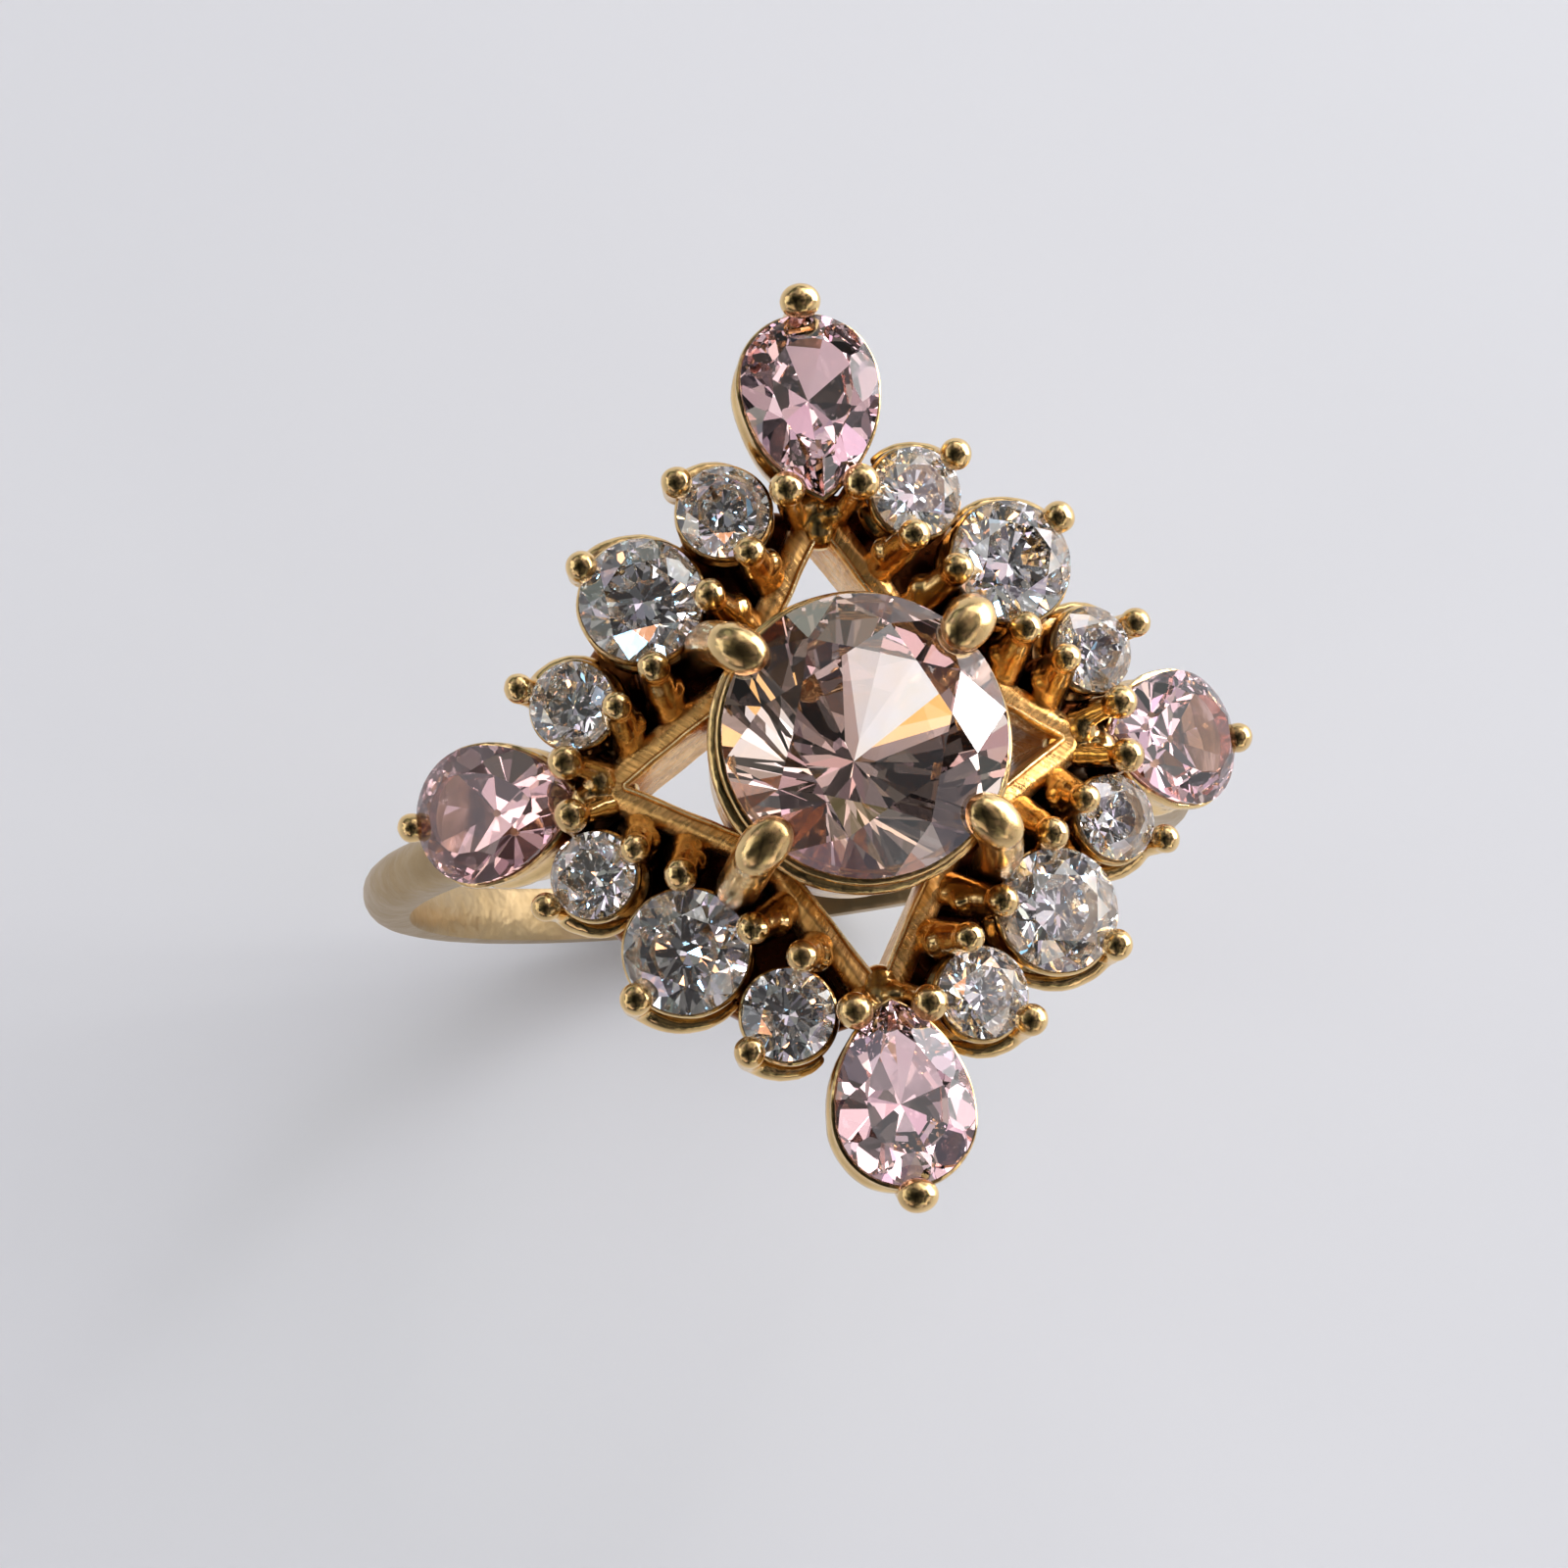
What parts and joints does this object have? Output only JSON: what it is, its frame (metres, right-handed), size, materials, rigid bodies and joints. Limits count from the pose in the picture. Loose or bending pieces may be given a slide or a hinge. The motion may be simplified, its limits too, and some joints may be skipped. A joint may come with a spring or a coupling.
{
  "type": "cocktail ring",
  "caption": "Compass star cocktail ring: slim gold band, raised pierced star frame, round pale pink centre stone, pink pear stones on the points and clear round stones between.",
  "frame": {"origin": "centre of the finger hole, in the middle of the band's width", "axes": "+Y along the finger towards the north point of the star, +Z from the finger to the face of the head, +X towards the east point of the star"},
  "size_m": [0.0194, 0.0204, 0.0262],
  "materials": {
    "band_gold": "polished, lightly worn gold plate",
    "frame_gold": "brushed, darkened gold plate",
    "polished_gold": "polished gold plate with darker hollows",
    "pink_stone": "faceted, pale peach pink",
    "clear_stone": "faceted, colourless"
  },
  "bodies": {
    "root": {"shank": "band_gold", "shoulder_east": "band_gold", "shoulder_west": "band_gold", "star_arm_north": "frame_gold", "star_arm_east": "frame_gold", "star_arm_south": "frame_gold", "star_arm_west": "frame_gold", "centre_seat": "polished_gold", "claw_ne": "polished_gold", "claw_nw": "polished_gold", "claw_se": "polished_gold", "claw_sw": "polished_gold", "gallery_ne": "frame_gold", "gallery_nw": "frame_gold", "gallery_se": "frame_gold", "gallery_sw": "frame_gold", "pear_cup_north": "polished_gold", "pear_cup_east": "polished_gold", "pear_cup_south": "polished_gold", "pear_cup_west": "polished_gold", "large_cup_ne": "polished_gold", "large_cup_nw": "polished_gold", "large_cup_se": "polished_gold", "large_cup_sw": "polished_gold", "small_cup_a_ne": "polished_gold", "small_cup_a_nw": "polished_gold", "small_cup_a_se": "polished_gold", "small_cup_a_sw": "polished_gold", "small_cup_b_ne": "polished_gold", "small_cup_b_nw": "polished_gold", "small_cup_b_se": "polished_gold", "small_cup_b_sw": "polished_gold", "centre_stone": "pink_stone", "pear_stone_north": "pink_stone", "pear_stone_east": "pink_stone", "pear_stone_south": "pink_stone", "pear_stone_west": "pink_stone", "large_stone_ne": "clear_stone", "large_stone_nw": "clear_stone", "large_stone_se": "clear_stone", "large_stone_sw": "clear_stone", "small_stone_a_ne": "clear_stone", "small_stone_a_nw": "clear_stone", "small_stone_a_se": "clear_stone", "small_stone_a_sw": "clear_stone", "small_stone_b_ne": "clear_stone", "small_stone_b_nw": "clear_stone", "small_stone_b_se": "clear_stone", "small_stone_b_sw": "clear_stone"}
  },
  "joints": []
}
